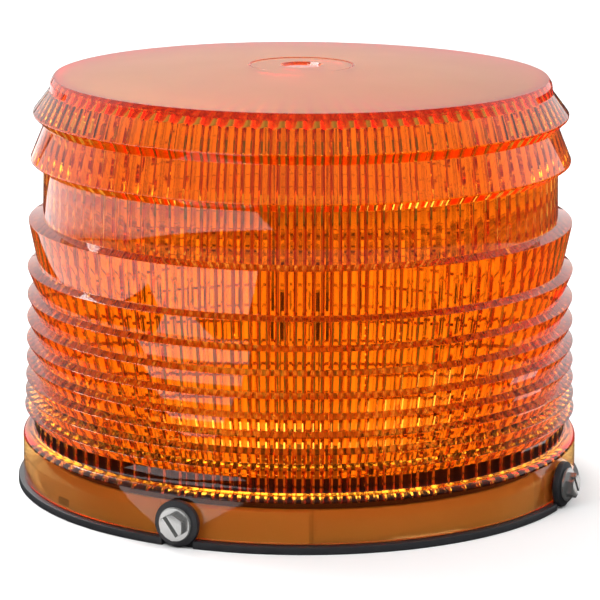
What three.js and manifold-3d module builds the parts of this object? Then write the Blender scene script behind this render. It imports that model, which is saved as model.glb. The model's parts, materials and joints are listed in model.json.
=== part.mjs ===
// Cylindrical amber warning light: a Fresnel lens cover held on a round base by four side screws,
// with a plug-in flash lamp and its driver board inside.
// Millimetres, +Z up, origin at the centre of the foot.

import * as THREE from 'three';
import { mergeVertices } from 'three/addons/utils/BufferGeometryUtils.js';
import Module from 'manifold-3d';

// ---------------------------------------------------------------- driving dimensions

const ROUND = 48; // facets of the large turned parts
const MIDDLE = 32; // facets of the washers and the lamp's socket
const FINE = 20; // facets of small round parts
const TINY = 12; // facets of the smallest round parts
const GAP = 0.3; // clearance between parts that meet

// Foot gasket: the black ring that the light stands on.
const FOOT_R = 82.5;
const FOOT_INNER_R = 68;
const FOOT_H = 2.2;

// Base pan.
const PAN_BOTTOM = FOOT_H;
const FLOOR_TOP = 4.4;
const WALL_R = 75.4; // recessed panels of the wall
const PANEL_R = 78.1; // raised panels of the wall
const PANEL_TOP = 11.2;
const COLLAR_R = 72.2;
const COLLAR_INNER_R = 69.8;
const COLLAR_TOP = 18.2;
const PANEL_FROM = -5.2; // degrees, each raised panel starts just before its screw
const PANEL_TO = 26;

// Lens cover, outside, as [radius, height].
const LENS_TOP = 122.3;
const RIM_R = 71.2;
const RIM_Z = 119.1;
const RIM_CHAMFER = [72.1, 117.6];
const RIM_BAND = [72.4, 115.3];
const UPPER_SKIRTS = [
  { tip: [77.2, 109.0], lip: 0.6, under: [74.0, 105.6] },
  { tip: [78.0, 95.8], lip: 0.6, under: [74.3, 93.0] },
];
const FOCAL_WALL_LOW = [74.6, 78.5];
const PRISM_TIPS = [
  [78.8, 77.7], [79.3, 64.0], [79.4, 55.8], [79.6, 49.1], [79.8, 42.8],
  [79.9, 37.1], [80.1, 32.0], [80.3, 27.4], [80.5, 23.1],
];
const PRISM_DEPTH = 3.1;
const PRISM_STEP = 1.0; // fall of each prism's short upper face
const NECK_R = 78.0;
const NECK_TOP = 20.3;
const SHOULDER_Z = 16.1;
const SHOULDER_BEND = 1.9;
const SKIRT_R = 80.95;
const SKIRT_INNER_R = 78.5;
const SKIRT_BOTTOM = 2.5;

// Lens cover, inside.
const LENS_SEAT_Z = 13.6;
const BARREL_LOW = [73.7, 20.5];
const BARREL_HIGH = [69.8, 114.6];
const ROOF_EDGE = [67.6, 116.4];
const ROOF_Z = 119.0;

// Lens seal: sleeve over the collar with a foot under the lens.
const SEAL_R = 73.35;
const SEAL_FOOT_R = 75.2;
const SEAL_TOP = 19.7;

// Lens screws, slotted hex washer heads, four at right angles.
const SCREW_TURN = -23.7; // degrees from the front, towards +X
const SCREW_COUNT = 4;
const SCREW_Z = 6.8;
const WASHER_R = 6.5;
const WASHER_HOLE_R = 2.8;
const WASHER_INNER_Y = 81.2; // distance of the washer's inner face from the axis
const WASHER_THICK = 1.9;
const WASHER_RELIEF = 10; // width of the gasket's notch under each washer
const FLANGE_R = 4.85;
const FLANGE_THICK = 1.1;
const HEX_FLATS = 6.35;
const HEX_THICK = 2.1;
const DRIVER_SLOT = [1.2, 1.2]; // width and depth
const DRIVER_SLOT_TURN = 37; // degrees from upright
const SHANK_R = 2.4;
const SHANK_LENGTH = 12.2;
const LENS_SLOT_R = 2.9;
const INSERT_R = 3.6;
const INSERT_BORE_R = 2.75;
const INSERT_FROM = 69.6;
const INSERT_TO = 76.0;
const BOSS_WIDTH = 12;
const BOSS_FROM = 66;

// Circuit board and what stands on it.
const BOARD_R = 50;
const BOARD_Z = 11;
const BOARD_THICK = 1.6;
const DECK = BOARD_Z + BOARD_THICK + 0.1; // parts stand here
const BOARD_BOSS_R = 4;
const BOARD_BOSS_AT = 44;
const BOARD_SCREW_ANGLES = [90, 210, 330];
const BOARD_SCREW_R = 1.5;
const BOARD_SCREW_HEAD = [2.9, 2.2]; // radius and height
const BOARD_SCREW_LENGTH = 6;

const MOUNT_HOLE_R = 3.25;
const MOUNT_HOLE_AT = 60;
const MOUNT_HOLE_ANGLES = [30, 150, 270];
const WEEP_ANGLES = [-60, 120];
const WEEP = { width: 6, low: 3.0, high: 4.8, from: 65 };

const GROMMET_AT = [0, 59.5];
const GROMMET_HOLE_R = 6.2;
const GROMMET = { bore: 4, neck: 5.9, flange: 7.8, lip: 1.3 };

// Flash lamp, its discharge centred on the lens's plain wall.
const SOCKET = { flange: 19, thick: 3, boss: 13.2, top: 25.8, recess: 3, rim: 2.4, screwAt: 15.6 };
const SOCKET_SCREW_LENGTH = 5;
const LAMP_BASE = { low: SOCKET.top + 0.1, rim: 34, top: 37, radius: 14, neck: 11.4 };
const ENVELOPE = { radius: 13, wall: 1.2, top: 104 };
const TUBE = { radius: 3, bore: 2.1, spread: 6, low: 60, bend: 91 };
const ELECTRODE = { radius: 3.5, height: 5.5 };
const LAMP_ROD_R = 0.9;

const AMBER = { color: 0xd9560c, roughness: 0.12, metalness: 0 };
const BLACK_RUBBER = { color: 0x1e1f22, roughness: 0.8, metalness: 0 };
const GREY_PLASTIC = { color: 0xdcd9d2, roughness: 0.5, metalness: 0 };
const STEEL = { color: 0x9a9c9e, roughness: 0.3, metalness: 1 };
const BRASS = { color: 0xb8913c, roughness: 0.35, metalness: 1 };
const WHITE_BOARD = { color: 0xe8e8e2, roughness: 0.45, metalness: 0 };
const FERRITE = { color: 0x26272a, roughness: 0.6, metalness: 0.1 };
const GLASS = { color: 0xeef2f2, roughness: 0.05, metalness: 0, transparent: true, opacity: 0.35 };
const CERAMIC = { color: 0xe9e5da, roughness: 0.4, metalness: 0 };
const YELLOW_TAPE = { color: 0xe3b32c, roughness: 0.4, metalness: 0 };
const GREEN_PLASTIC = { color: 0x2f6b3f, roughness: 0.5, metalness: 0 };
const BLACK_PLASTIC = { color: 0x17181a, roughness: 0.4, metalness: 0 };

// ---------------------------------------------------------------- geometry helpers

const wasm = await Module();
wasm.setup();

const rad = THREE.MathUtils.degToRad;

function toSolid(geometry) {
  const bare = geometry.clone();
  bare.deleteAttribute('normal');
  bare.deleteAttribute('uv');
  const merged = mergeVertices(bare, 1e-4);
  const vertProperties = new Float32Array(merged.attributes.position.array);
  const triVerts = new Uint32Array(merged.index.array);
  return new wasm.Manifold(new wasm.Mesh({ numProp: 3, vertProperties, triVerts }));
}

function toGeometry(solid) {
  const mesh = solid.getMesh();
  const geometry = new THREE.BufferGeometry();
  geometry.setAttribute('position', new THREE.BufferAttribute(mesh.vertProperties, 3));
  geometry.setIndex(new THREE.BufferAttribute(mesh.triVerts, 1));
  return geometry;
}

// Body of revolution about Z from [radius, height] points, in either direction round the section.
function turned(points, facets = ROUND) {
  const section = points.map(([r, z]) => new THREE.Vector2(r, z));
  if (THREE.ShapeUtils.isClockWise(section)) section.reverse();
  return new THREE.LatheGeometry(section, facets).rotateX(Math.PI / 2);
}

function turnedRing(points, facets = ROUND) {
  const section = points.map(([r, z]) => new THREE.Vector2(r, z));
  if (THREE.ShapeUtils.isClockWise(section)) section.reverse();
  section.push(section[0].clone());
  return new THREE.LatheGeometry(section, facets).rotateX(Math.PI / 2);
}

function disc(radius, low, high, facets = FINE) {
  return turned([[0, low], [radius, low], [radius, high], [0, high]], facets);
}

function box(width, depth, height, x, y, low) {
  return new THREE.BoxGeometry(width, depth, height).translate(x, y, low + height / 2);
}

// Round bar lying along Y, between two distances in front of the axis, at a height.
function radialBar(radius, from, to, z, facets = FINE) {
  const bar = new THREE.CylinderGeometry(radius, radius, to - from, facets);
  return bar.translate(0, -(from + to) / 2, z);
}

function extruded(shape, low, high, curveSegments = 6) {
  const options = { depth: high - low, bevelEnabled: false, curveSegments };
  return new THREE.ExtrudeGeometry(shape, options).translate(0, 0, low);
}

function sectorRing(inner, outer, fromDegrees, toDegrees, low, high) {
  const front = -90; // degrees of the front direction
  const start = rad(front + fromDegrees);
  const end = rad(front + toDegrees);
  const shape = new THREE.Shape();
  shape.absarc(0, 0, outer, start, end, false);
  shape.absarc(0, 0, inner, end, start, true);
  shape.closePath();
  return extruded(shape, low, high, 10);
}

function roundedRect(width, depth, radius) {
  const w = width / 2 - radius;
  const d = depth / 2 - radius;
  const shape = new THREE.Shape();
  shape.absarc(w, d, radius, 0, Math.PI / 2, false);
  shape.absarc(-w, d, radius, Math.PI / 2, Math.PI, false);
  shape.absarc(-w, -d, radius, Math.PI, 1.5 * Math.PI, false);
  shape.absarc(w, -d, radius, 1.5 * Math.PI, 2 * Math.PI, false);
  shape.closePath();
  return shape;
}

function around(radius, degrees) {
  return [radius * Math.cos(rad(degrees)), radius * Math.sin(rad(degrees))];
}

const screwAngles = Array.from({ length: SCREW_COUNT }, (_, k) => SCREW_TURN + (k * 360) / SCREW_COUNT);

const light = new THREE.Group();

function addPiece(name, geometry, finish, parent = light) {
  const mesh = new THREE.Mesh(geometry, new THREE.MeshStandardMaterial(finish));
  mesh.name = name;
  parent.add(mesh);
  return mesh;
}

// ---------------------------------------------------------------- foot and base

function footGasket() {
  let ring = toSolid(turnedRing([
    [FOOT_INNER_R, 0], [FOOT_R, 0], [FOOT_R, FOOT_H - 0.4], [FOOT_R - 0.4, FOOT_H], [FOOT_INNER_R, FOOT_H],
  ]));
  const relief = WASHER_INNER_Y - GAP;
  for (const angle of screwAngles) {
    const notch = box(WASHER_RELIEF, 4, 2 * FOOT_H, 0, -(relief + 2), -FOOT_H / 2);
    ring = ring.subtract(toSolid(notch.rotateZ(rad(angle))));
  }
  return toGeometry(ring);
}

function basePan() {
  let pan = toSolid(turned([
    [0, PAN_BOTTOM], [WALL_R, PAN_BOTTOM], [WALL_R, PANEL_TOP], [COLLAR_R, PANEL_TOP],
    [COLLAR_R, COLLAR_TOP], [COLLAR_INNER_R, COLLAR_TOP], [COLLAR_INNER_R, FLOOR_TOP], [0, FLOOR_TOP],
  ]));
  for (const angle of screwAngles) {
    const panel = sectorRing(WALL_R - 1.5, PANEL_R, PANEL_FROM, PANEL_TO, PAN_BOTTOM, PANEL_TOP);
    const bossDepth = WALL_R - BOSS_FROM - 1;
    const bossHeight = PANEL_TOP - PAN_BOTTOM - 1;
    const boss = box(BOSS_WIDTH, bossDepth, bossHeight, 0, -(BOSS_FROM + bossDepth / 2), PAN_BOTTOM + 1);
    const screwHole = radialBar(SHANK_R + 0.5, BOSS_FROM - 1, PANEL_R + 2, SCREW_Z);
    const insertHole = radialBar(INSERT_R + GAP, BOSS_FROM + 2, INSERT_TO + GAP, SCREW_Z);
    pan = pan.add(toSolid(panel.rotateZ(rad(angle)))).add(toSolid(boss.rotateZ(rad(angle))));
    pan = pan.subtract(toSolid(screwHole.rotateZ(rad(angle))));
    pan = pan.subtract(toSolid(insertHole.rotateZ(rad(angle))));
  }
  for (const angle of BOARD_SCREW_ANGLES) {
    const [x, y] = around(BOARD_BOSS_AT, angle);
    const boss = disc(BOARD_BOSS_R, FLOOR_TOP - 1, BOARD_Z - 0.1, TINY).translate(x, y, 0);
    const pilot = disc(BOARD_SCREW_R + GAP, FLOOR_TOP + 1.2, BOARD_Z + 1, TINY).translate(x, y, 0);
    pan = pan.add(toSolid(boss)).subtract(toSolid(pilot));
  }
  for (const angle of MOUNT_HOLE_ANGLES) {
    const [x, y] = around(MOUNT_HOLE_AT, angle);
    pan = pan.subtract(toSolid(disc(MOUNT_HOLE_R, PAN_BOTTOM - 1, FLOOR_TOP + 1).translate(x, y, 0)));
  }
  for (const angle of WEEP_ANGLES) {
    const reach = PANEL_R + 2 - WEEP.from;
    const channel = box(WEEP.width, reach, WEEP.high - WEEP.low, 0, -(WEEP.from + reach / 2), WEEP.low);
    pan = pan.subtract(toSolid(channel.rotateZ(rad(angle))));
  }
  const wireHole = disc(GROMMET_HOLE_R, PAN_BOTTOM - 1, FLOOR_TOP + 1);
  return toGeometry(pan.subtract(toSolid(wireHole.translate(...GROMMET_AT, 0))));
}

function lensSeal() {
  const sleeve = COLLAR_R + GAP / 2;
  return turnedRing([
    [sleeve, PANEL_TOP + 0.1], [SEAL_FOOT_R, PANEL_TOP + 0.1], [SEAL_FOOT_R, LENS_SEAT_Z - 0.1],
    [SEAL_R, LENS_SEAT_Z - 0.1], [SEAL_R, SEAL_TOP], [COLLAR_INNER_R, SEAL_TOP],
    [COLLAR_INNER_R, COLLAR_TOP + 0.1], [sleeve, COLLAR_TOP + 0.1],
  ]);
}

function wireGrommet() {
  const { bore, neck, flange, lip } = GROMMET;
  const low = PAN_BOTTOM - 0.1;
  const high = FLOOR_TOP + 0.1;
  return turnedRing([
    [bore, low - lip], [flange - 0.6, low - lip], [flange, low], [neck, low], [neck, high],
    [flange, high], [flange - 0.8, high + lip], [bore, high + lip],
  ], FINE).translate(...GROMMET_AT, 0);
}

// ---------------------------------------------------------------- lens cover

function lensSection() {
  const points = [[0, LENS_TOP]];
  const domeSteps = 4;
  for (let k = 1; k <= domeSteps; k += 1) {
    const r = (RIM_R * k) / domeSteps;
    points.push([r, LENS_TOP - (LENS_TOP - RIM_Z) * (r / RIM_R) ** 2]);
  }
  points.push(RIM_CHAMFER, RIM_BAND);
  for (const { tip, lip, under } of UPPER_SKIRTS) {
    points.push(tip, [tip[0] - 0.1, tip[1] - lip], under);
  }
  points.push(FOCAL_WALL_LOW, PRISM_TIPS[0]);
  for (const [r, z] of PRISM_TIPS.slice(1)) {
    points.push([r - PRISM_DEPTH, z + PRISM_STEP], [r, z]);
  }
  points.push([NECK_R, NECK_TOP], [NECK_R, SHOULDER_Z]);
  const bendSteps = 3;
  for (let k = 0; k <= bendSteps; k += 1) {
    const turn = (k / bendSteps) * (Math.PI / 2);
    const r = SKIRT_R - SHOULDER_BEND * (1 - Math.sin(turn));
    points.push([r, SHOULDER_Z - SHOULDER_BEND * (1 - Math.cos(turn))]);
  }
  points.push([SKIRT_R, SKIRT_BOTTOM], [SKIRT_INNER_R, SKIRT_BOTTOM], [SKIRT_INNER_R, LENS_SEAT_Z]);
  points.push([BARREL_LOW[0], LENS_SEAT_Z], BARREL_LOW, BARREL_HIGH, ROOF_EDGE, [0, ROOF_Z]);
  return points;
}

function lensCover() {
  let cover = toSolid(turned(lensSection()));
  for (const angle of screwAngles) {
    const from = SKIRT_INNER_R - 2;
    const to = SKIRT_R + 2;
    const arch = toSolid(radialBar(LENS_SLOT_R, from, to, SCREW_Z, FINE));
    const drop = SCREW_Z - SKIRT_BOTTOM + 1;
    const leg = toSolid(box(2 * LENS_SLOT_R, to - from, drop, 0, -(from + to) / 2, SCREW_Z - drop));
    const slot = toGeometry(arch.add(leg)).rotateZ(rad(angle));
    cover = cover.subtract(toSolid(slot));
  }
  return toGeometry(cover);
}

// ---------------------------------------------------------------- lens fasteners

function sealingWasher() {
  const outer = WASHER_INNER_Y + WASHER_THICK;
  const disk = toSolid(radialBar(WASHER_R, WASHER_INNER_Y, outer, SCREW_Z, MIDDLE));
  return toGeometry(disk.subtract(toSolid(radialBar(WASHER_HOLE_R, 60, 90, SCREW_Z))));
}

function lensScrew() {
  const seat = WASHER_INNER_Y + WASHER_THICK + 0.1;
  const hexFrom = seat + FLANGE_THICK;
  const hexTo = hexFrom + HEX_THICK;
  const hexR = HEX_FLATS / 2 / Math.cos(Math.PI / 6);
  const hex = new THREE.CylinderGeometry(hexR * 0.94, hexR, HEX_THICK + 0.2, 6);
  hex.rotateX(Math.PI).translate(0, -(hexFrom + hexTo) / 2 + 0.1, SCREW_Z);
  let screw = toSolid(radialBar(FLANGE_R, seat, hexFrom, SCREW_Z));
  screw = screw.add(toSolid(hex));
  screw = screw.add(toSolid(radialBar(SHANK_R, seat - SHANK_LENGTH, seat + 0.5, SCREW_Z, TINY)));
  const [slotWidth, slotDepth] = DRIVER_SLOT;
  const slot = new THREE.BoxGeometry(slotWidth, 2 * slotDepth, 3 * FLANGE_R);
  slot.rotateY(rad(-DRIVER_SLOT_TURN)).translate(0, -hexTo, SCREW_Z);
  return toGeometry(screw.subtract(toSolid(slot)));
}

function threadedInsert() {
  const sleeve = toSolid(radialBar(INSERT_R, INSERT_FROM, INSERT_TO, SCREW_Z));
  return toGeometry(sleeve.subtract(toSolid(radialBar(INSERT_BORE_R, 60, 90, SCREW_Z, TINY))));
}

// ---------------------------------------------------------------- board and electronics

function circuitBoard() {
  let board = toSolid(disc(BOARD_R, BOARD_Z, BOARD_Z + BOARD_THICK, 48));
  for (const angle of BOARD_SCREW_ANGLES) {
    const [x, y] = around(BOARD_BOSS_AT, angle);
    board = board.subtract(toSolid(disc(BOARD_SCREW_R + GAP, 5, 20, TINY).translate(x, y, 0)));
  }
  for (const side of [-1, 1]) {
    const hole = disc(BOARD_SCREW_R + GAP, 5, 20, TINY).translate(side * SOCKET.screwAt, 0, 0);
    board = board.subtract(toSolid(hole));
  }
  return toGeometry(board);
}

// Pan-head machine screw standing on a face, its shank pointing down.
function panScrew(seat, length) {
  const [headR, headH] = BOARD_SCREW_HEAD;
  let screw = toSolid(turned([
    [0, seat - length], [BOARD_SCREW_R, seat - length], [BOARD_SCREW_R, seat], [headR, seat],
    [headR, seat + 0.6 * headH], [0.6 * headR, seat + headH], [0, seat + headH],
  ], TINY));
  for (const turn of [0, Math.PI / 2]) {
    const bar = new THREE.BoxGeometry(0.9, 3.2, 2 * 1.1).rotateZ(turn).translate(0, 0, seat + headH);
    screw = screw.subtract(toSolid(bar));
  }
  return toGeometry(screw);
}

// Round socket with a screwed flange and a recess in its top.
function lampSocket() {
  const { flange, thick, boss, top, recess, rim, screwAt } = SOCKET;
  const seat = DECK + thick;
  let socket = toSolid(turned([
    [0, DECK], [flange, DECK], [flange, seat], [boss, seat], [boss, top],
    [boss - rim, top], [boss - rim, top - recess], [0, top - recess],
  ], MIDDLE));
  for (const side of [-1, 1]) {
    const hole = disc(BOARD_SCREW_R + GAP, BOARD_Z, seat + 1, TINY);
    const headRoom = disc(BOARD_SCREW_HEAD[0] + GAP, seat, top + 1, TINY);
    for (const cut of [hole, headRoom]) {
      socket = socket.subtract(toSolid(cut.translate(side * screwAt, 0, 0)));
    }
  }
  return toGeometry(socket);
}

function lampBase() {
  const { low, rim, top, radius, neck } = LAMP_BASE;
  const chamfer = 0.6;
  return turned([
    [0, low], [radius, low], [radius, rim - chamfer], [radius - chamfer, rim],
    [neck, rim], [neck, top], [0, top],
  ], MIDDLE);
}

function domed(radius, low, top, steps = 4) {
  const points = [[0, low], [radius, low]];
  for (let k = 0; k <= steps; k += 1) {
    const turn = (k / steps) * (Math.PI / 2);
    points.push([k === steps ? 0 : radius * Math.cos(turn), top - radius + radius * Math.sin(turn)]);
  }
  return turned(points, 24);
}

// Glass bell over the tube, open at its foot.
function lampEnvelope() {
  const { radius, wall, top } = ENVELOPE;
  const low = LAMP_BASE.rim + 0.1;
  const inside = toSolid(domed(radius - wall, low - 1, top - wall));
  return toGeometry(toSolid(domed(radius, low, top)).subtract(inside));
}

class TubeCentreLine extends THREE.Curve {
  getPoint(t, target = new THREE.Vector3()) {
    const leg = TUBE.bend - TUBE.low;
    const arc = Math.PI * TUBE.spread;
    const along = t * (2 * leg + arc);
    if (along <= leg) return target.set(-TUBE.spread, 0, TUBE.low + along);
    if (along >= leg + arc) return target.set(TUBE.spread, 0, TUBE.bend - (along - leg - arc));
    const turn = Math.PI - (along - leg) / TUBE.spread;
    return target.set(TUBE.spread * Math.cos(turn), 0, TUBE.bend + TUBE.spread * Math.sin(turn));
  }
}

function flashTube() {
  const shape = new THREE.Shape();
  shape.absarc(0, 0, TUBE.radius, 0, 2 * Math.PI, false);
  const bore = new THREE.Path();
  bore.absarc(0, 0, TUBE.bore, 0, 2 * Math.PI, true);
  shape.holes.push(bore);
  const options = { steps: 24, curveSegments: 5, extrudePath: new TubeCentreLine() };
  return new THREE.ExtrudeGeometry(shape, options);
}

function electrode() {
  const high = TUBE.low - 0.1;
  return disc(ELECTRODE.radius, high - ELECTRODE.height, high, TINY);
}

function lampRod() {
  return disc(LAMP_ROD_R, LAMP_BASE.top + 0.1, TUBE.low - ELECTRODE.height - 0.2, TINY);
}

function capacitor(radius, height) {
  const groove = height * 0.12;
  return turned([
    [0, DECK], [radius, DECK], [radius, DECK + groove], [radius - 0.5, DECK + 1.3 * groove],
    [radius, DECK + 1.6 * groove], [radius, DECK + height - 0.5], [radius - 0.5, DECK + height],
    [0, DECK + height],
  ], FINE);
}

const TRANSFORMER = { width: 18, depth: 6, height: 14, frame: 2.5, coilDepth: 13 };

function transformerCore() {
  const { width, depth, height, frame } = TRANSFORMER;
  const window = box(width - 2 * frame, depth + 2, height - 2 * frame, 0, 0, DECK + frame);
  return toGeometry(toSolid(box(width, depth, height, 0, 0, DECK)).subtract(toSolid(window)));
}

function transformerCoil() {
  const { width, height, frame, coilDepth } = TRANSFORMER;
  const shape = roundedRect(width - 2 * frame - 2 * GAP, coilDepth, 2.5);
  return extruded(shape, DECK + frame + GAP, DECK + height - frame - GAP, 3);
}

const TERMINAL_PITCH = 6.8;
const TERMINAL_SCREW_BACK = -0.6;

function terminalBlock() {
  let block = toSolid(box(14, 10, 11, 0, 0, DECK));
  for (const side of [-1, 1]) {
    const x = (side * TERMINAL_PITCH) / 2;
    const well = disc(2.1, DECK + 6, DECK + 12, TINY).translate(x, TERMINAL_SCREW_BACK, 0);
    block = block.subtract(toSolid(well));
    block = block.subtract(toSolid(box(3.6, 4, 3.6, x, 4, DECK + 1.2)));
  }
  return toGeometry(block);
}

function terminalScrew() {
  const top = DECK + 9.6;
  const screw = toSolid(disc(1.7, DECK + 6.3, top, TINY));
  return toGeometry(screw.subtract(toSolid(new THREE.BoxGeometry(0.7, 5, 1.6).translate(0, 0, top))));
}

function powerTransistor() {
  const tab = toSolid(box(10, 4.4, 1.3, 0, 6.2, DECK));
  return toGeometry(toSolid(box(10, 8.6, 4.4, 0, 0, DECK)).add(tab));
}

function driverChip() {
  let chip = toSolid(box(4, 5, 1.5, 0, 0, DECK + 0.3));
  for (const side of [-1, 1]) {
    for (let k = 0; k < 4; k += 1) {
      const x = side * 2.5;
      const y = -1.9 + 1.27 * k;
      chip = chip.add(toSolid(box(1.4, 0.45, 0.6, x, y, DECK)));
    }
  }
  return toGeometry(chip);
}

const SWITCH = { length: 15, width: 7, height: 6.2, slot: [9.4, 3.6], knob: [3, 3] };

function modeSwitchBody() {
  const [slotLength, slotWidth] = SWITCH.slot;
  const well = box(slotLength, slotWidth, 4, 0, 0, DECK + SWITCH.height - 2.2);
  const body = box(SWITCH.length, SWITCH.width, SWITCH.height, 0, 0, DECK);
  return toGeometry(toSolid(body).subtract(toSolid(well)));
}

function modeSwitchKnob() {
  const [length, width] = SWITCH.knob;
  return box(length, width, 4.6, 0, 0, DECK + SWITCH.height - 1.9);
}

function photocell() {
  const [flange, dome] = [3, 2.4];
  return turned([
    [0, DECK], [flange, DECK], [flange, DECK + 0.8], [dome, DECK + 1.2], [dome, DECK + 2.4],
    [0.7 * dome, DECK + 3.2], [0, DECK + 3.4],
  ], TINY);
}

// ---------------------------------------------------------------- assembly

addPiece('foot_gasket', footGasket(), BLACK_RUBBER);
addPiece('base_pan', basePan(), GREY_PLASTIC);
addPiece('lens_seal', lensSeal(), BLACK_RUBBER);
addPiece('lens_cover', lensCover(), AMBER);
addPiece('wire_grommet', wireGrommet(), BLACK_RUBBER);

screwAngles.forEach((angle, k) => {
  const corner = new THREE.Group();
  corner.rotation.z = rad(angle);
  light.add(corner);
  addPiece(`screw_insert_${k + 1}`, threadedInsert(), BRASS, corner);
  addPiece(`sealing_washer_${k + 1}`, sealingWasher(), BLACK_RUBBER, corner);
  addPiece(`lens_screw_${k + 1}`, lensScrew(), STEEL, corner);
});

addPiece('circuit_board', circuitBoard(), WHITE_BOARD);
BOARD_SCREW_ANGLES.forEach((angle, k) => {
  const [x, y] = around(BOARD_BOSS_AT, angle);
  addPiece(`board_screw_${k + 1}`, panScrew(DECK, BOARD_SCREW_LENGTH), STEEL).position.set(x, y, 0);
});

addPiece('lamp_socket', lampSocket(), CERAMIC);
[-1, 1].forEach((side, k) => {
  const body = panScrew(DECK + SOCKET.thick + 0.1, SOCKET_SCREW_LENGTH);
  const screw = addPiece(`socket_screw_${k + 1}`, body, STEEL);
  screw.position.set(side * SOCKET.screwAt, 0, 0);
});
addPiece('lamp_base', lampBase(), CERAMIC);
addPiece('lamp_envelope', lampEnvelope(), GLASS);
addPiece('flash_tube', flashTube(), GLASS);
[-1, 1].forEach((side, k) => {
  addPiece(`lamp_electrode_${k + 1}`, electrode(), STEEL).position.set(side * TUBE.spread, 0, 0);
  addPiece(`lamp_rod_${k + 1}`, lampRod(), STEEL).position.set(side * TUBE.spread, 0, 0);
});

// Where each component stands on the board.
const PHOTOCELL_AT = [30, 11, 0];
const LARGE_CAPACITOR = { radius: 7, height: 16.5, at: [21, -26.5, 0] };
const SMALL_CAPACITOR = { radius: 5, height: 14, at: [38, -6, 0] };
const TRANSFORMER_AT = [-23, -25, 0];
const TRIGGER_COIL = { radius: 4, height: 10, at: [4, 28, 0] };
const TERMINALS_AT = [-22, 34, 0];
const TRANSISTOR_AT = [-36, 6, 0];
const CHIP_AT = [-4, -32, 0];
const SWITCH_AT = [26, 27, 0];

for (const [name, { radius, height, at }] of Object.entries({
  capacitor_large: LARGE_CAPACITOR,
  capacitor_small: SMALL_CAPACITOR,
})) {
  addPiece(name, capacitor(radius, height), BLACK_PLASTIC).position.set(...at);
}
const triggerCoil = disc(TRIGGER_COIL.radius, DECK, DECK + TRIGGER_COIL.height);
addPiece('trigger_coil', triggerCoil, CERAMIC).position.set(...TRIGGER_COIL.at);
addPiece('photocell', photocell(), BLACK_PLASTIC).position.set(...PHOTOCELL_AT);
addPiece('transformer_core', transformerCore(), FERRITE).position.set(...TRANSFORMER_AT);
addPiece('transformer_coil', transformerCoil(), YELLOW_TAPE).position.set(...TRANSFORMER_AT);
addPiece('terminal_block', terminalBlock(), GREEN_PLASTIC).position.set(...TERMINALS_AT);
[-1, 1].forEach((side, k) => {
  const screw = addPiece(`terminal_screw_${k + 1}`, terminalScrew(), STEEL);
  screw.position.set(...TERMINALS_AT);
  screw.translateX(side * TERMINAL_PITCH / 2).translateY(TERMINAL_SCREW_BACK);
});
addPiece('power_transistor', powerTransistor(), BLACK_PLASTIC).position.set(...TRANSISTOR_AT);
addPiece('driver_chip', driverChip(), BLACK_PLASTIC).position.set(...CHIP_AT);
addPiece('mode_switch', modeSwitchBody(), BLACK_PLASTIC).position.set(...SWITCH_AT);
addPiece('mode_switch_knob', modeSwitchKnob(), WHITE_BOARD).position.set(...SWITCH_AT);

export default light;
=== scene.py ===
import json
import math

import bmesh
import bpy
import numpy as np
from mathutils import Matrix, Vector


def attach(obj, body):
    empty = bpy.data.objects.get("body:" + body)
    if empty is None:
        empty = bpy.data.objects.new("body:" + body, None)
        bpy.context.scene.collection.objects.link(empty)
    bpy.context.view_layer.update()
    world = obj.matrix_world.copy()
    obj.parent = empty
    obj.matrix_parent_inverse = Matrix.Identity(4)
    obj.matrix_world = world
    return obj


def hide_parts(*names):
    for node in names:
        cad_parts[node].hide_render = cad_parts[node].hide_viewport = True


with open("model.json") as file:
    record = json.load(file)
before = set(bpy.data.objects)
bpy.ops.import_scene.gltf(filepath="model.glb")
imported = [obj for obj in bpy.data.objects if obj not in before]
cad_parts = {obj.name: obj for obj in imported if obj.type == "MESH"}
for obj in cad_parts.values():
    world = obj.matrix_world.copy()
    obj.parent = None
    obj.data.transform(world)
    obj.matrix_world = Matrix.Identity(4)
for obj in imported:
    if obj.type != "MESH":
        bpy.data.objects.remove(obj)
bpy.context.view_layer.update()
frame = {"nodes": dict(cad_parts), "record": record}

MM = 0.001

# facets around each kind of round shape
WALL_FACETS = 720
RING_FACETS = 192
HEAD_FACETS = 72
BAR_FACETS = 48
INLET_FACETS = 40
HOLE_FACETS = 32
PILOT_FACETS = 24

# ---------------------------------------------------------------- lens cover, pairs are (radius, height)

RIBS = 96
# one rib, with steep flanks between flats: (share of its pitch, share of its depth)
RIB_PROFILE = (
    (0.0, 0.0), (0.11, 0.0), (0.17, 0.1), (0.36, 0.9), (0.42, 1.0),
    (0.58, 1.0), (0.64, 0.9), (0.83, 0.1), (0.89, 0.0),
)
RIB_DEPTH = 1.7
OUTER_PER_RIB = 2
OUTER_SEGMENTS = RIBS * OUTER_PER_RIB
GATE_R = 14.9
GATE_STEP = 0.15
GATE_GROOVE = 0.4
GATE_HOLE_R = 6.2
GATE_HOLE_DEPTH = 0.7
GATE_HOLE_SLOPE = 0.6
GATE_RING_R = 10.0
CROWN_RADII = (20, 26, 32, 38, 44, 50, 56, 62, 67)
LENS_TOP = 122.3
RIM_R = 71.2
RIM_Z = 119.1
RIM_CHAMFER = (72.1, 117.6)
RIM_BAND = (72.4, 115.3)
# the two flared rings: tip, height of the lip, foot of the underside
UPPER_SKIRTS = (
    ((77.2, 109.0), 0.6, (74.0, 105.6)),
    ((78.0, 95.8), 0.6, (74.3, 93.0)),
)
UPPER_SKIRT_DRAFT = 0.1
FOCAL_WALL_LOW = (74.6, 78.5)
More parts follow.
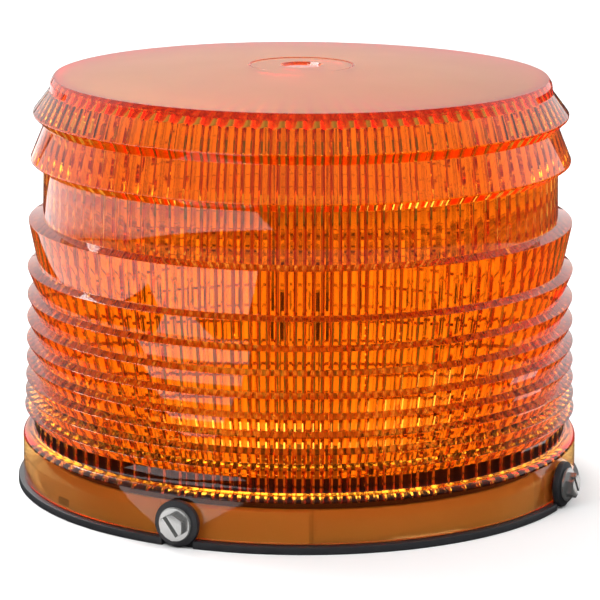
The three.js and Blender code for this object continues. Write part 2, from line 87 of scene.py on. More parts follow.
# the nine prism rings, from the top
PRISM_TIPS = (
    (78.8, 77.7), (79.3, 64.0), (79.4, 55.8), (79.6, 49.1), (79.8, 42.8),
    (79.9, 37.1), (80.1, 32.0), (80.3, 27.4), (80.5, 23.1),
)
PRISM_DEPTH = 3.1
PRISM_STEP = 1.0
NECK_R = 78.0
NECK_TOP = 20.3
SHOULDER_Z = 16.1
SHOULDER_BEND = 1.9
SHOULDER_STEPS = 6
SKIRT_R = 80.95
SKIRT_INNER_R = 78.5
SKIRT_BOTTOM = 2.5
LENS_SEAT_Z = 13.6
BARREL_LOW = (73.7, 20.5)
BARREL_HIGH = (69.8, 114.6)
BARREL_STEPS = 8
ROOF_EDGE = (67.6, 116.4)
ROOF_Z = 119.0
ROOF_BEND = (40.0, 118.1)
EDGE_ROUND = 0.22
LENS_SLOT_R = 2.9

# ---------------------------------------------------------------- base and fasteners

# between pieces that touch
GAP = 0.1
FOOT_R = 82.5
FOOT_INNER_R = 68
FOOT_H = 2.2
WASHER_RELIEF = 9.5
PAN_BOTTOM = FOOT_H
FLOOR_TOP = 4.4
WALL_R = 75.4
PANEL_R = 78.1
PANEL_TOP = 11.2
# degrees from each screw
PANEL_FROM = -5.2
PANEL_TO = 26
PANEL_RAMP = 0.8
COLLAR_R = 72.2
COLLAR_INNER_R = 69.8
COLLAR_TOP = 18.2
SEAL_R = 73.35
SEAL_FOOT_R = 75.2
SEAL_TOP = 19.7
# degrees from the front, which faces -Y
SCREW_TURN = -23.7
SCREW_ANGLES = [SCREW_TURN + 90 * k for k in range(4)]
SCREW_Z = 6.8
WASHER_R = 6.5
WASHER_HOLE_R = 2.8
WASHER_INNER_Y = 81.2
WASHER_THICK = 1.9
WASHER_ROUND = 0.35
HEAD_SEAT_Y = WASHER_INNER_Y + WASHER_THICK + GAP
FLANGE_R = 4.85
FLANGE_TOP = HEAD_SEAT_Y + 1.1
HEX_FLATS = 6.35
HEX_TOP = FLANGE_TOP + 2.1
HEX_CHAMFER = 0.9
# width and depth, and degrees from upright
DRIVER_SLOT = (1.2, 1.2)
DRIVER_SLOT_TURN = 37
SHANK_R = 2.4
SHANK_LENGTH = 12.2
THREAD_PITCH = 1.058
THREAD_DEPTH = 0.35
INSERT_R = 3.6
INSERT_SEAT_Y = 76.3
BOSS_WIDTH = 12
BOSS_FROM = 66
BOARD_Z = 11
BOARD_BOSS_R = 4
BOARD_BOSS_AT = 44
BOARD_SCREW_ANGLES = (90, 210, 330)
BOARD_PILOT_R = 1.8
MOUNT_HOLE_R = 3.25
MOUNT_HOLE_AT = 60
MOUNT_HOLE_ANGLES = (30, 150, 270)
WEEP_ANGLES = (-60, 120)
WEEP = {"width": 6, "low": 3.0, "high": 4.8, "from": 65}
GROMMET_AT = (0, 59.5)
GROMMET_HOLE_R = 6.2


def rounded(points, radius, steps=2):
    """An open (radius, height) outline with the corners between its ends rounded."""
    out = [points[0]]
    for before, corner, after in zip(points, points[1:], points[2:]):
        c = Vector(corner)
        a = Vector(before) - c
        b = Vector(after) - c
        reach = min(radius, a.length * 0.4, b.length * 0.4)
        start = c + a.normalized() * reach
        end = c + b.normalized() * reach
        for k in range(steps + 1):
            t = k / steps
            out.append(tuple(start * (1 - t) ** 2 + c * 2 * t * (1 - t) + end * t * t))
    out.append(points[-1])
    return out


def dome_z(r):
    """Height of the crown at a radius."""
    return LENS_TOP - (LENS_TOP - RIM_Z) * (r / RIM_R) ** 2


def lens_outside():
    """The lens section from the crown down to the foot of the skirt."""
    hole_floor = LENS_TOP - GATE_HOLE_DEPTH
    points = [(0.0, hole_floor), (GATE_HOLE_R - GATE_HOLE_SLOPE, hole_floor)]
    points += [(r, dome_z(r) - GATE_STEP) for r in (GATE_HOLE_R, GATE_RING_R, GATE_R - GATE_GROOVE)]
    points.append((GATE_R, dome_z(GATE_R) - GATE_STEP - GATE_GROOVE))
    points += [(r, dome_z(r)) for r in (GATE_R + GATE_GROOVE, *CROWN_RADII, RIM_R)]
    corners = [points[-1], RIM_CHAMFER, RIM_BAND]
    for tip, lip, under in UPPER_SKIRTS:
        corners += [tip, (tip[0] - UPPER_SKIRT_DRAFT, tip[1] - lip), under]
    corners += [FOCAL_WALL_LOW, PRISM_TIPS[0]]
    for r, z in PRISM_TIPS[1:]:
        corners += [(r - PRISM_DEPTH, z + PRISM_STEP), (r, z)]
    corners += [(NECK_R, NECK_TOP), (NECK_R, SHOULDER_Z)]
    for k in range(SHOULDER_STEPS + 1):
        turn = math.pi / 2 * k / SHOULDER_STEPS
        r = SKIRT_R - SHOULDER_BEND * (1 - math.sin(turn))
        z = SHOULDER_Z - SHOULDER_BEND * (1 - math.cos(turn))
        corners.append((r, z))
    corners += [(SKIRT_R, SKIRT_BOTTOM), (SKIRT_INNER_R, SKIRT_BOTTOM), (SKIRT_INNER_R, LENS_SEAT_Z)]
    return points[:-1] + rounded(corners, EDGE_ROUND)


def lens_inside():
    """The ribbed inner section from the seat up to the roof: (radius, height, rib share)."""
    points = [(BARREL_LOW[0], LENS_SEAT_Z, 1.0), (*BARREL_LOW, 1.0)]
    for k in range(1, BARREL_STEPS + 1):
        r, z = Vector(BARREL_LOW).lerp(Vector(BARREL_HIGH), k / BARREL_STEPS)
        points.append((r, z, 1.0))
    points += [(*ROOF_EDGE, 0.0), (*ROOF_BEND, 0.0)]
    return points


def ring(radii, turns, z):
    """A ring of points at one height."""
    return np.stack([radii * np.cos(turns), radii * np.sin(turns), np.full(len(turns), z)], 1)


def lens_foot(a, n, b, m):
    """Faces from the plain ring of n points that starts at a to the ribbed ring of m points at b."""
    per = m * OUTER_PER_RIB // n
    faces = []
    for i in range(0, n, OUTER_PER_RIB):
        start = i // OUTER_PER_RIB * per
        inner = [int(b + (start + s) % m) for s in range(per + 1)]
        outer = [int(a + (i + k) % n) for k in range(OUTER_PER_RIB, -1, -1)]
        faces.append(inner + outer)
    return faces


def lens_mesh():
    """A smooth outside and a ribbed inside, which meet on the flat seat."""
    coarse = np.arange(OUTER_SEGMENTS) * 2 * math.pi / OUTER_SEGMENTS
    inner_segments = RIBS * len(RIB_PROFILE)
    shares, cuts = np.array(RIB_PROFILE).T
    fine = (np.arange(RIBS)[:, None] + shares).ravel() * 2 * math.pi / RIBS
    wave = np.tile(cuts, RIBS)
    rings = [ring(np.full(len(coarse), r), coarse, z) for r, z in lens_outside()[1:]]
    rings += [ring(r + RIB_DEPTH * wave * share, fine, z) for r, z, share in lens_inside()]
    starts = np.cumsum([0] + [len(r) for r in rings])
    crown = [[0, 0, lens_outside()[0][1]], [0, 0, ROOF_Z]]
    verts = np.concatenate(rings + [np.array(crown)]) * MM
    faces = []
    for k in range(len(rings) - 1):
        a, b, n, m = starts[k], starts[k + 1], len(rings[k]), len(rings[k + 1])
        if n == m:
            i = np.arange(n)
            j = (i + 1) % n
            faces += np.stack([a + i, b + i, b + j, a + j], 1).tolist()
        else:
            faces += lens_foot(a, n, b, m)
    top = len(verts) - 2
    faces += [[top, int(i), int((i + 1) % OUTER_SEGMENTS)] for i in range(OUTER_SEGMENTS)]
    last, n = int(starts[-2]), inner_segments
    faces += [[top + 1, last + (i + 1) % n, last + i] for i in range(n)]
    mesh = bpy.data.meshes.new("lens")
    mesh.from_pydata(verts.tolist(), [], faces)
    mesh.validate()
    return mesh


def add_object(name, mesh):
    """A new object of the scene with this mesh."""
    obj = bpy.data.objects.new(name, mesh)
    bpy.context.scene.collection.objects.link(obj)
    return obj


def finish_mesh(obj, sharp_degrees=35):
    """Smooth shading, except where two faces meet at more than the given angle."""
    obj.data.shade_smooth()
    obj.data.set_sharp_from_angle(angle=math.radians(sharp_degrees))
    return obj


def turned_mesh(section, segments, closed=False):
    """A lathe body about Z from (radius, height) points in millimetres.

    A closed section joins its last point to its first.
    """
    bm = bmesh.new()
    turns = [2 * math.pi * k / segments for k in range(segments)]
    rows = []
    for r, z in section:
        if r == 0:
            spots = [(0, 0, z)]
        else:
            spots = [(r * math.cos(t), r * math.sin(t), z) for t in turns]
        rows.append([bm.verts.new([part * MM for part in spot]) for spot in spots])
    pairs = list(zip(rows, rows[1:]))
    if closed:
        pairs.append((rows[-1], rows[0]))
    for a, b in pairs:
        for i in range(segments):
            j = (i + 1) % segments
            if len(a) == 1:
                bm.faces.new((a[0], b[i], b[j]))
            elif len(b) == 1:
                bm.faces.new((a[i], b[0], a[j]))
            else:
                bm.faces.new((a[i], b[i], b[j], a[j]))
    bmesh.ops.recalc_face_normals(bm, faces=bm.faces)
    mesh = bpy.data.meshes.new("turned")
    bm.to_mesh(mesh)
    bm.free()
    return mesh


def block_mesh(low, high):
    """A box between two corners, in millimetres."""
    bm = bmesh.new()
    bmesh.ops.create_cube(bm, size=1.0)
    for v in bm.verts:
        v.co = Vector([(low[i] + (v.co[i] + 0.5) * (high[i] - low[i])) * MM for i in range(3)])
    mesh = bpy.data.meshes.new("block")
    bm.to_mesh(mesh)
    bm.free()
    return mesh


def rod_mesh(radius, low, high, segments):
    """A plain cylinder about Z between two heights."""
    return turned_mesh([(0, low), (radius, low), (radius, high), (0, high)], segments)


def onto_screw_axis(mesh):
    """The mesh turned from the Z axis to a line along -Y at the height of the lens screws."""
    mesh.transform(Matrix.Translation((0, 0, SCREW_Z * MM)) @ Matrix.Rotation(math.pi / 2, 4, "X"))
    return mesh


def bar_mesh(radius, start, end):
    """A round bar on the axis of a lens screw, from one distance from the middle to another."""
    return onto_screw_axis(rod_mesh(radius, start, end, BAR_FACETS))


def placed(mesh, turn=0.0, offset=(0, 0, 0)):
    """The mesh moved by an offset in millimetres and turned about Z by degrees."""
    move = Matrix.Rotation(math.radians(turn), 4, "Z") @ Matrix.Translation(Vector(offset) * MM)
    mesh.transform(move)
    return mesh


def combine(mesh, tools, operation):
    """The mesh with tools cut from it (DIFFERENCE), added to it (UNION) or bounding it (INTERSECT)."""
    body = add_object("body", mesh)
    helpers = [body]
    for tool in tools:
        helper = add_object("tool", tool)
        helpers.append(helper)
        modifier = body.modifiers.new("combine", "BOOLEAN")
        modifier.operation = operation
        modifier.object = helper
        modifier.solver = "EXACT"
    depsgraph = bpy.context.evaluated_depsgraph_get()
    out = bpy.data.meshes.new_from_object(body.evaluated_get(depsgraph))
    for helper in helpers:
        bpy.data.objects.remove(helper)
    return out


def around(radius, degrees):
    """The x and y of a point at a radius and an angle from +X."""
    turn = math.radians(degrees)
    return radius * math.cos(turn), radius * math.sin(turn)


def lens_with_slots():
    """The lens with a U slot in its skirt for each screw, open at the lower edge."""
    near, far = SKIRT_INNER_R - 2, SKIRT_R + 2
    tools = []
    for angle in SCREW_ANGLES:
        leg = block_mesh((-LENS_SLOT_R, -far, SKIRT_BOTTOM - 1), (LENS_SLOT_R, -near, SCREW_Z))
        arch = bar_mesh(LENS_SLOT_R, near, far)
        tools.append(placed(combine(arch, [leg], "UNION"), angle))
    return combine(lens_mesh(), tools, "DIFFERENCE")


def gasket_mesh():
    """The ring that the light stands on, with a flat notch behind each rubber washer."""
    top = FOOT_H
    section = [
        (FOOT_INNER_R, 0), (FOOT_R - 0.3, 0), (FOOT_R, 0.3), (FOOT_R, top - 0.5),
        (FOOT_R - 0.15, top - 0.15), (FOOT_R - 0.5, top), (FOOT_INNER_R, top),
    ]
    relief = WASHER_INNER_Y - 0.3
    half = WASHER_RELIEF / 2
    notches = []
    for angle in SCREW_ANGLES:
        notch = block_mesh((-half, -relief - 4, -1), (half, -relief, top + 1))
        notches.append(placed(notch, angle))
    return combine(turned_mesh(section, RING_FACETS, closed=True), notches, "DIFFERENCE")


def panel_share(degrees):
    """1 on the raised panels of the pan's wall and 0 between them, at an angle from the front."""
    half = (PANEL_TO - PANEL_FROM) / 2
    share = 0.0
    for angle in SCREW_ANGLES:
        middle = angle + (PANEL_FROM + PANEL_TO) / 2
        away = abs((degrees - middle + 180) % 360 - 180)
        share = max(share, min(1.0, (half + PANEL_RAMP - away) / PANEL_RAMP))
    return share


def pan_wall_mesh():
    """Floor, wall with raised panels, and collar, as one body about Z."""
    edge = 0.3
    # (radius, height, share of the panels' thickness)
    section = [
        (0, PAN_BOTTOM, 0), (WALL_R - 3, PAN_BOTTOM, 0), (WALL_R - edge, PAN_BOTTOM, 1),
        (WALL_R, PAN_BOTTOM + edge, 1), (WALL_R, PANEL_TOP - 0.8, 1),
        (WALL_R - 0.25, PANEL_TOP - 0.25, 1), (WALL_R - 0.8, PANEL_TOP, 1),
        (COLLAR_R, PANEL_TOP, 0), (COLLAR_R, COLLAR_TOP - edge, 0),
        (COLLAR_R - edge, COLLAR_TOP, 0), (COLLAR_INNER_R + edge, COLLAR_TOP, 0),
        (COLLAR_INNER_R, COLLAR_TOP - edge, 0), (COLLAR_INNER_R, FLOOR_TOP, 0), (0, FLOOR_TOP, 0),
    ]
    turns = [2 * math.pi * k / WALL_FACETS for k in range(WALL_FACETS)]
    raised = [(PANEL_R - WALL_R) * panel_share(math.degrees(t) + 90) for t in turns]
    bm = bmesh.new()
    rows = []
    for r, z, share in section:
        if r == 0:
            rows.append([bm.verts.new((0, 0, z * MM))] * WALL_FACETS)
            continue
        row = []
        for turn, up in zip(turns, raised):
            reach = (r + share * up) * MM
            row.append(bm.verts.new((reach * math.cos(turn), reach * math.sin(turn), z * MM)))
        rows.append(row)
    for a, b in zip(rows, rows[1:]):
        for i in range(WALL_FACETS):
            j = (i + 1) % WALL_FACETS
            # at the axis two of the corners are one point
            corners = dict.fromkeys((a[i], b[i], b[j], a[j]))
            bm.faces.new(tuple(corners))
    bmesh.ops.recalc_face_normals(bm, faces=bm.faces)
    mesh = bpy.data.meshes.new("pan")
    bm.to_mesh(mesh)
    bm.free()
    return mesh


def base_pan_mesh():
    """The pan with its screw bosses, board posts, mounting holes, weep channels and cable inlet."""
    half_boss, half_weep = BOSS_WIDTH / 2, WEEP["width"] / 2
    under, over = PAN_BOTTOM - 1, FLOOR_TOP + 1
    solids = []
    holes = []
    for angle in SCREW_ANGLES:
        near = (-half_boss, -WALL_R + 1, PAN_BOTTOM + 1)
        far = (half_boss, -BOSS_FROM, PANEL_TOP - 1)
        solids.append(placed(block_mesh(near, far), angle))
        holes.append(placed(bar_mesh(SHANK_R + 0.5, BOSS_FROM - 1, PANEL_R + 2), angle))
        holes.append(placed(bar_mesh(INSERT_R + 0.3, BOSS_FROM + 2, INSERT_SEAT_Y), angle))
    for angle in BOARD_SCREW_ANGLES:
        at = (*around(BOARD_BOSS_AT, angle), 0)
        post = rod_mesh(BOARD_BOSS_R, FLOOR_TOP - 1, BOARD_Z - GAP, HOLE_FACETS)
        pilot = rod_mesh(BOARD_PILOT_R, FLOOR_TOP + 1.2, BOARD_Z + 1, PILOT_FACETS)
        solids.append(placed(post, offset=at))
        holes.append(placed(pilot, offset=at))
    for angle in MOUNT_HOLE_ANGLES:
        at = (*around(MOUNT_HOLE_AT, angle), 0)
        holes.append(placed(rod_mesh(MOUNT_HOLE_R, under, over, HOLE_FACETS), offset=at))
    for angle in WEEP_ANGLES:
        near = (-half_weep, -PANEL_R - 2, WEEP["low"])
        far = (half_weep, -WEEP["from"], WEEP["high"])
        holes.append(placed(block_mesh(near, far), angle))
    inlet = rod_mesh(GROMMET_HOLE_R, under, over, INLET_FACETS)
    holes.append(placed(inlet, offset=(*GROMMET_AT, 0)))
    return combine(combine(pan_wall_mesh(), solids, "UNION"), holes, "DIFFERENCE")


def seal_mesh():
    """The rubber ring that sits on the collar, with a foot under the seat of the lens."""
    sleeve = COLLAR_R + 0.15
    foot_top = LENS_SEAT_Z - GAP
    foot_low = PANEL_TOP + GAP
    roof = COLLAR_TOP + GAP
    section = [
        (sleeve, foot_low), (SEAL_FOOT_R, foot_low), (SEAL_FOOT_R, foot_top), (SEAL_R, foot_top),
        (SEAL_R, SEAL_TOP - 0.4), (SEAL_R - 0.4, SEAL_TOP), (COLLAR_INNER_R, SEAL_TOP),
        (COLLAR_INNER_R, roof), (sleeve, roof),
    ]
    return turned_mesh(section, RING_FACETS, closed=True)


def washer_mesh():
    """Rubber washer with rounded rims, on the lens screw's axis."""
    inner, outer = WASHER_INNER_Y, WASHER_INNER_Y + WASHER_THICK
    soft = WASHER_ROUND
    nip = 0.3 * soft
    section = [
        (WASHER_HOLE_R, inner), (WASHER_R - soft, inner), (WASHER_R - nip, inner + nip),
        (WASHER_R, inner + soft), (WASHER_R, outer - soft), (WASHER_R - nip, outer - nip),
        (WASHER_R - soft, outer), (WASHER_HOLE_R, outer),
    ]
    return onto_screw_axis(turned_mesh(section, HEAD_FACETS, closed=True))


def screw_flange():
    """The round collar under the hex, with soft rims."""
    section = [
        (0, HEAD_SEAT_Y), (FLANGE_R - 0.15, HEAD_SEAT_Y), (FLANGE_R, HEAD_SEAT_Y + 0.2),
        (FLANGE_R, FLANGE_TOP - 0.35), (FLANGE_R - 0.3, FLANGE_TOP - 0.05), (0, FLANGE_TOP),
    ]
    return turned_mesh(section, HEAD_FACETS)


def screw_hex():
    """The hex with its corners chamfered by a cone."""
    corner = HEX_FLATS / 2 / math.cos(math.pi / 6)
    wide = FLANGE_R * 1.2
    prism = rod_mesh(corner, HEAD_SEAT_Y + 0.3, HEX_TOP, 6)
    section = [
        (0, HEAD_SEAT_Y), (wide, HEAD_SEAT_Y), (wide, HEX_TOP - HEX_CHAMFER),
        (corner * 0.86, HEX_TOP), (0, HEX_TOP),
    ]
    head = combine(prism, [turned_mesh(section, HEAD_FACETS)], "INTERSECT")
    head.transform(Matrix.Rotation(math.radians(30), 4, "Z"))
    return head


def screw_shank():
    """The shank, with its thread as a row of equal ridges."""
    tip = HEAD_SEAT_Y - SHANK_LENGTH
    root_r = SHANK_R - THREAD_DEPTH
    section = [(0, tip), (root_r - 0.3, tip)]
    y = tip + 0.5
    while y < HEAD_SEAT_Y - 1.2:
        section += [(root_r, y), (SHANK_R, y + THREAD_PITCH * 0.4), (SHANK_R, y + THREAD_PITCH * 0.55)]
        y += THREAD_PITCH
    neck_top = HEAD_SEAT_Y + 0.3
    section += [(root_r, y), (SHANK_R, HEAD_SEAT_Y - 0.3), (SHANK_R, neck_top), (0, neck_top)]
    return turned_mesh(section, HOLE_FACETS)


def driver_slot():
    """The block that cuts the driver slot across the head."""
    width, depth = DRIVER_SLOT
    slot = block_mesh((-width / 2, -HEX_TOP - 1, -6), (width / 2, -HEX_TOP + depth, 6))
    turn = Matrix.Rotation(math.radians(-DRIVER_SLOT_TURN), 4, "Y")
    slot.transform(Matrix.Translation((0, 0, SCREW_Z * MM)) @ turn)
    return slot


def screw_mesh():
    """Slotted hex washer head and a threaded shank, on the lens screw's axis."""
    body = combine(screw_flange(), [screw_hex(), screw_shank()], "UNION")
    return combine(onto_screw_axis(body), [driver_slot()], "DIFFERENCE")


# ---------------------------------------------------------------- materials

NOISE_DETAIL = 3.0
# places of the mix node's two inputs and its result in its lists of sockets
MIX_VALUE_SOCKETS = (2, 3, 0)
MIX_COLOUR_SOCKETS = (6, 7, 2)
POLYCARBONATE_IOR = 1.58
GLASS_IOR = 1.47
# what the thickness of the plastic takes out of the light
AMBER_VOLUME = (1.0, 0.85, 0.40, 1)
AMBER_DENSITY = 100.0


def new_material(name):
    """A material with one Principled shader, returned with its shader and output nodes."""
    mat = bpy.data.materials.new(name)
    mat.use_nodes = True
    nodes = mat.node_tree.nodes
    nodes.clear()
    out = nodes.new("ShaderNodeOutputMaterial")
    shader = nodes.new("ShaderNodeBsdfPrincipled")
    mat.node_tree.links.new(shader.outputs["BSDF"], out.inputs["Surface"])
    return mat, shader, out


def noise_node(mat, scale):
    """A noise in the object's own coordinates, with its scale in cells per metre."""
    nodes = mat.node_tree.nodes
    coords = nodes.new("ShaderNodeTexCoord")
    noise = nodes.new("ShaderNodeTexNoise")
    noise.inputs["Scale"].default_value = scale
    noise.inputs["Detail"].default_value = NOISE_DETAIL
    mat.node_tree.links.new(coords.outputs["Object"], noise.inputs["Vector"])
    return noise


def noise_mix(mat, target, low, high, scale, colour=False):
    """Feeds a socket with a noise that runs between two values or colours."""
    nodes, links = mat.node_tree.nodes, mat.node_tree.links
    noise = noise_node(mat, scale)
    mix = nodes.new("ShaderNodeMix")
    mix.data_type = "RGBA" if colour else "FLOAT"
    links.new(noise.outputs["Fac"], mix.inputs["Factor"])
    a, b, result = MIX_COLOUR_SOCKETS if colour else MIX_VALUE_SOCKETS
    mix.inputs[a].default_value = low
    mix.inputs[b].default_value = high
    links.new(mix.outputs[result], target)


def noise_bump(mat, shader, scale, strength, distance):
    """A fine grain in the normal, with its depth in metres."""
    nodes, links = mat.node_tree.nodes, mat.node_tree.links
    noise = noise_node(mat, scale)
    bump = nodes.new("ShaderNodeBump")
    bump.inputs["Strength"].default_value = strength
    bump.inputs["Distance"].default_value = distance
    links.new(noise.outputs["Fac"], bump.inputs["Height"])
    links.new(bump.outputs["Normal"], shader.inputs["Normal"])


def amber(name, tints, roughness):
    """Dyed clear plastic: most of the tint sits at the faces, the rest grows with the thickness."""
    mat, shader, out = new_material(name)
    low, high = tints
    shader.inputs["Transmission Weight"].default_value = 1.0
    shader.inputs["IOR"].default_value = POLYCARBONATE_IOR
    noise_mix(mat, shader.inputs["Base Color"], (*low, 1), (*high, 1), 60, colour=True)
    noise_mix(mat, shader.inputs["Roughness"], *roughness, 40)
    absorb = mat.node_tree.nodes.new("ShaderNodeVolumeAbsorption")
    absorb.inputs["Color"].default_value = AMBER_VOLUME
    absorb.inputs["Density"].default_value = AMBER_DENSITY
    mat.node_tree.links.new(absorb.outputs[0], out.inputs["Volume"])
    return mat


def clear_glass():
    """The envelope of the flash lamp."""
    mat, shader, _ = new_material("clear_glass")
    low, high = (0.94, 0.96, 0.96, 1), (0.97, 0.98, 0.98, 1)
    shader.inputs["Transmission Weight"].default_value = 1.0
    shader.inputs["IOR"].default_value = GLASS_IOR
    noise_mix(mat, shader.inputs["Base Color"], low, high, 80, colour=True)
    noise_mix(mat, shader.inputs["Roughness"], 0.01, 0.04, 300)
    return mat


def opaque(name, low, high, roughness, scale, metallic=0.0, bump=None):
    """A solid finish that varies a little in colour and roughness, with a grain where bump is given."""
    mat, shader, _ = new_material(name)
    noise_mix(mat, shader.inputs["Base Color"], (*low, 1), (*high, 1), scale, colour=True)
    noise_mix(mat, shader.inputs["Roughness"], *roughness, scale * 2)
    shader.inputs["Metallic"].default_value = metallic
    if bump:
        noise_bump(mat, shader, *bump)
    return mat


# name, two colours, roughness range, noise scale, metallic, bump (scale, strength, depth)
OPAQUE_FINISHES = (
    ("black_rubber", (0.012, 0.012, 0.014), (0.024, 0.024, 0.027), (0.35, 0.55), 500,
     0.0, (2500, 0.2, 0.0002)),
    ("grey_base", (0.78, 0.76, 0.71), (0.84, 0.82, 0.77), (0.4, 0.55), 120,
     0.0, (3000, 0.1, 0.0002)),
    ("zinc_steel", (0.42, 0.42, 0.41), (0.50, 0.50, 0.49), (0.20, 0.26), 400,
     0.85, (1800, 0.02, 0.0001)),
    ("brass", (0.62, 0.42, 0.16), (0.72, 0.52, 0.22), (0.25, 0.4), 400, 1.0),
    ("white_board", (0.78, 0.78, 0.74), (0.86, 0.86, 0.83), (0.35, 0.5), 300),
    ("white_ceramic", (0.80, 0.78, 0.72), (0.88, 0.86, 0.81), (0.25, 0.4), 250),
    ("yellow_tape", (0.80, 0.52, 0.06), (0.90, 0.64, 0.12), (0.3, 0.45), 600),
    ("dark_ferrite", (0.02, 0.02, 0.022), (0.04, 0.04, 0.043), (0.5, 0.65), 900),
    ("green_plastic", (0.03, 0.16, 0.06), (0.05, 0.22, 0.09), (0.35, 0.5), 500),
    ("black_plastic", (0.010, 0.010, 0.011), (0.022, 0.022, 0.024), (0.3, 0.45), 700),
    ("knob_plastic", (0.74, 0.74, 0.70), (0.84, 0.84, 0.80), (0.4, 0.5), 700),
)
AMBER_TINTS = ((0.83, 0.34, 0.04), (0.87, 0.38, 0.06))
# The crown is the same amber plastic as the rings and thinner; its darker tint is painted shade that
# tones down the top.
SATIN_SHADED_TINTS = ((0.47, 0.22, 0.02), (0.53, 0.25, 0.04))
SKIRT_TINTS = ((0.98, 0.60, 0.26), (0.99, 0.64, 0.29))

finishes = {name: opaque(name, *look) for name, *look in OPAQUE_FINISHES}
finishes["clear_glass"] = clear_glass()
finishes["amber_lens"] = amber("amber_clear", AMBER_TINTS, (0.01, 0.04))
for entry in frame["record"]["subparts"]:
    node = frame["nodes"][entry["node"]]
    node.data.materials.clear()
    node.data.materials.append(finishes[entry["material_slot"]])

# ---------------------------------------------------------------- pieces


def piece(name, mesh, node, body, slot, sharp_degrees=35):
    """A finer body that stands in for a CAD node, in the node's own material slot."""
    obj = finish_mesh(add_object(name, mesh), sharp_degrees)
    obj.data.materials.clear()
    obj.data.materials.append(finishes[slot])
    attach(obj, body)
    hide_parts(node)
    return obj


def lens_piece():
    """Clear rings, a satin crown whose darker tint is painted shade, and a skirt whose thin wall is
    paler.
    """
    lens = piece("lens", lens_with_slots(), "lens_cover", "lens", "amber_lens", 25)
    # The crown's satin roughness is real; its darker tint is painted shade.
    lens.data.materials.append(amber("amber_satin", SATIN_SHADED_TINTS, (0.31, 0.37)))
    lens.data.materials.append(amber("amber_skirt", SKIRT_TINTS, (0.04, 0.08)))
    satin = 1
    skirt = 2
    for face in lens.data.polygons:
        radius = face.center.xy.length / MM
        height = face.center.z / MM
        on_crown = height > RIM_Z - 0.1 and face.normal.z > 0.9
        if on_crown and GATE_HOLE_R < radius < RIM_R:
            face.material_index = satin
        elif height < SHOULDER_Z - SHOULDER_BEND + 0.1 and radius > SKIRT_INNER_R - 0.5:
            face.material_index = skirt


lens_piece()
piece("gasket", gasket_mesh(), "foot_gasket", "base_unit", "black_rubber")
piece("pan", base_pan_mesh(), "base_pan", "base_unit", "grey_base")
piece("seal", seal_mesh(), "lens_seal", "base_unit", "black_rubber")
for k, angle in enumerate(SCREW_ANGLES, 1):
    washer = placed(washer_mesh(), angle)
    screw = placed(screw_mesh(), angle)
    piece(f"washer_{k}_rubber", washer, f"sealing_washer_{k}", f"washer_{k}", "black_rubber")
    piece(f"screw_{k}_steel", screw, f"lens_screw_{k}", f"screw_{k}", "zinc_steel")

# ---------------------------------------------------------------- stage, light and camera


def sheet(name, low, high, z, finish):
    """A flat rectangle of the stage between two (x, y) corners."""
    mesh = bpy.data.meshes.new(name)
    (x0, y0), (x1, y1) = low, high
    mesh.from_pydata([(x0, y0, z), (x1, y0, z), (x1, y1, z), (x0, y1, z)], [], [(0, 1, 2, 3)])
    mesh.materials.append(finish)
    obj = add_object(name, mesh)
    return obj


def stage_finish(name, low, high):
    """A matt grey between two levels."""
    return opaque(name, (low,) * 3, (high,) * 3, (0.8, 0.9), 3)


PAPER_SIZE = 3.0
PAPER_Z = -0.00002
CARD_Z = 0.0
GLOW_Z = -0.003
TABLE_Z = -0.004
GLOW_COLOUR = (0.62, 0.17, 0.04, 1)
# edges between the parts of the floor
PAPER_RIGHT = 0.5
MIRROR_X = -0.09
MIRROR_Y = -0.475
NEAR_X = -0.27
NEAR_Y = -0.16

white_paper = stage_finish("white_paper", 0.92, 0.94)
black_table = stage_finish("black_table", 0.04, 0.06)
amber_glow = stage_finish("amber_glow", 0.04, 0.06)
glow_shader = amber_glow.node_tree.nodes["Principled BSDF"]
glow_shader.inputs["Emission Color"].default_value = GLOW_COLOUR
glow_shader.inputs["Emission Strength"].default_value = 1.0

# The floor is one white sheet, in parts that differ in which rays meet them: rays that miss a part go on
# to the glow or the table below it. The two cards are there for the nearest screws to mirror.
# name, near corner, far corner, height, seen in mirror reflections, seen through clear pieces
PAPERS = (
    ("paper_back_left", (-PAPER_SIZE, 0), (NEAR_X, PAPER_SIZE), PAPER_Z, True, True),
    ("paper_back", (NEAR_X, 0), (PAPER_RIGHT, PAPER_SIZE), PAPER_Z, False, True),
    ("paper_left", (-PAPER_SIZE, MIRROR_Y), (NEAR_X, 0), PAPER_Z, True, False),
    ("paper_left_front", (NEAR_X, MIRROR_Y), (MIRROR_X, NEAR_Y), PAPER_Z, True, False),
    ("paper_near_left", (NEAR_X, NEAR_Y), (MIRROR_X, 0), PAPER_Z, False, False),
    ("paper_right", (MIRROR_X, MIRROR_Y), (PAPER_RIGHT, 0), PAPER_Z, False, False),
    ("paper_outer", (PAPER_RIGHT, -PAPER_SIZE), (PAPER_SIZE, PAPER_SIZE), PAPER_Z, False, False),
    ("paper_front", (-PAPER_SIZE, -PAPER_SIZE), (PAPER_RIGHT, MIRROR_Y), PAPER_Z, False, False),
    ("card_left", (-0.12, -0.13), (-0.035, -0.075), CARD_Z, True, False),
    ("card_right", (0.083, -0.025), (0.118, 0.01), CARD_Z, True, False),
)
for name, near, far, height, mirrored, refracted in PAPERS:
    paper = sheet(name, near, far, height, white_paper)
    paper.visible_glossy = mirrored
    paper.visible_transmission = refracted

# The glow shows only through clear pieces, and gives the lens its deep red lines.
glow = sheet("glow", (-PAPER_SIZE,) * 2, (PAPER_SIZE,) * 2, GLOW_Z, amber_glow)
glow.visible_glossy = False
glow.visible_diffuse = False
sheet("table", (-2 * PAPER_SIZE,) * 2, (2 * PAPER_SIZE,) * 2, TABLE_Z, black_table)


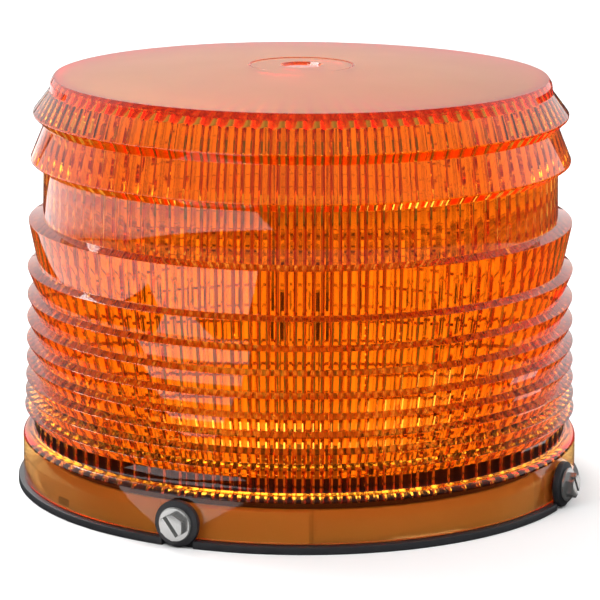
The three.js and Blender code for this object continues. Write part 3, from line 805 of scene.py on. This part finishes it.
def area_light(name, location, target, size, radiance):
    """A rectangular soft box that faces a target."""
    data = bpy.data.lights.new(name, "AREA")
    data.shape = "RECTANGLE"
    data.size, data.size_y = size
    data.energy = radiance * math.pi * size[0] * size[1]
    obj = bpy.data.objects.new(name, data)
    bpy.context.scene.collection.objects.link(obj)
    obj.location = location
    obj.rotation_euler = (Vector(target) - Vector(location)).to_track_quat("-Z", "Y").to_euler()
    return obj


# what the soft boxes face: the middle of the lens, or its lower part
LENS_MIDDLE = (0, 0, 0.06)
LENS_LOW = (0, 0, 0.03)
# name, place, what it faces, width and height, radiance, seen in mirror reflections
SOFT_BOXES = (
    ("key_box", (-0.55, 0.75, 1.25), LENS_MIDDLE, (0.9, 0.9), 8.0, True),
    ("front_box", (-0.15, -0.62, 1.0), LENS_MIDDLE, (1.7, 0.7), 0.85, False),
    ("left_fill", (-0.6, -1.1, 1.1), LENS_LOW, (1.6, 0.6), 5.0, False),
    ("right_fill", (1.0, -0.7, 0.9), LENS_LOW, (0.8, 0.8), 5.0, False),
)
for name, place, aim, size, radiance, mirrored in SOFT_BOXES:
    soft_box = area_light(name, place, aim, size, radiance)
    soft_box.visible_glossy = mirrored

# A bright panel behind the light that is seen only through clear pieces.
BACK_GLOW_Y = 1.6
BACK_GLOW_Z = 0.62
back_glow = area_light("back_glow", (0, BACK_GLOW_Y, BACK_GLOW_Z), (0, 0, BACK_GLOW_Z), (3.2, 1.1), 1.5)
back_glow.visible_camera = False
back_glow.visible_glossy = False
back_glow.visible_diffuse = False

FRONT_LEVEL = 0.2
BACK_LEVEL = 1.0
# the backdrop's direction along Y at which each level is reached
FRONT_FROM = -0.1
BACK_FROM = 0.3


def studio_world():
    """Backdrop: bright behind the light and dim in front of it."""
    world = bpy.data.worlds.new("studio")
    bpy.context.scene.world = world
    world.use_nodes = True
    nodes, links = world.node_tree.nodes, world.node_tree.links
    direction = nodes.new("ShaderNodeTexCoord")
    split = nodes.new("ShaderNodeSeparateXYZ")
    links.new(direction.outputs["Generated"], split.inputs["Vector"])
    ramp = nodes.new("ShaderNodeMapRange")
    values = {"From Min": FRONT_FROM, "From Max": BACK_FROM, "To Min": FRONT_LEVEL, "To Max": BACK_LEVEL}
    for key, value in values.items():
        ramp.inputs[key].default_value = value
    links.new(split.outputs["Y"], ramp.inputs["Value"])
    nodes["Background"].inputs["Color"].default_value = (1, 1, 1, 1)
    links.new(ramp.outputs["Result"], nodes["Background"].inputs["Strength"])


studio_world()

CAMERA_BACK = 0.9185
CAMERA_HEIGHT = 0.2528
# degrees below the horizon, and about the line of sight
CAMERA_DOWN = 12.284
CAMERA_ROLL = 0.35
# millimetres
CAMERA_LENS = 193.03
CAMERA_SENSOR = 36

camera_data = bpy.data.cameras.new("camera")
camera_data.sensor_width = CAMERA_SENSOR
camera_data.lens = CAMERA_LENS
camera = bpy.data.objects.new("camera", camera_data)
bpy.context.scene.collection.objects.link(camera)
tilt = Matrix.Rotation(math.radians(90 - CAMERA_DOWN), 4, "X")
roll = Matrix.Rotation(math.radians(CAMERA_ROLL), 4, "Z")
camera.matrix_world = Matrix.Translation((0, -CAMERA_BACK, CAMERA_HEIGHT)) @ tilt @ roll
bpy.context.scene.camera = camera

scene = bpy.context.scene
scene.view_settings.view_transform = "Standard"
scene.cycles.max_bounces = 24
scene.cycles.transmission_bounces = 20
scene.cycles.glossy_bounces = 12
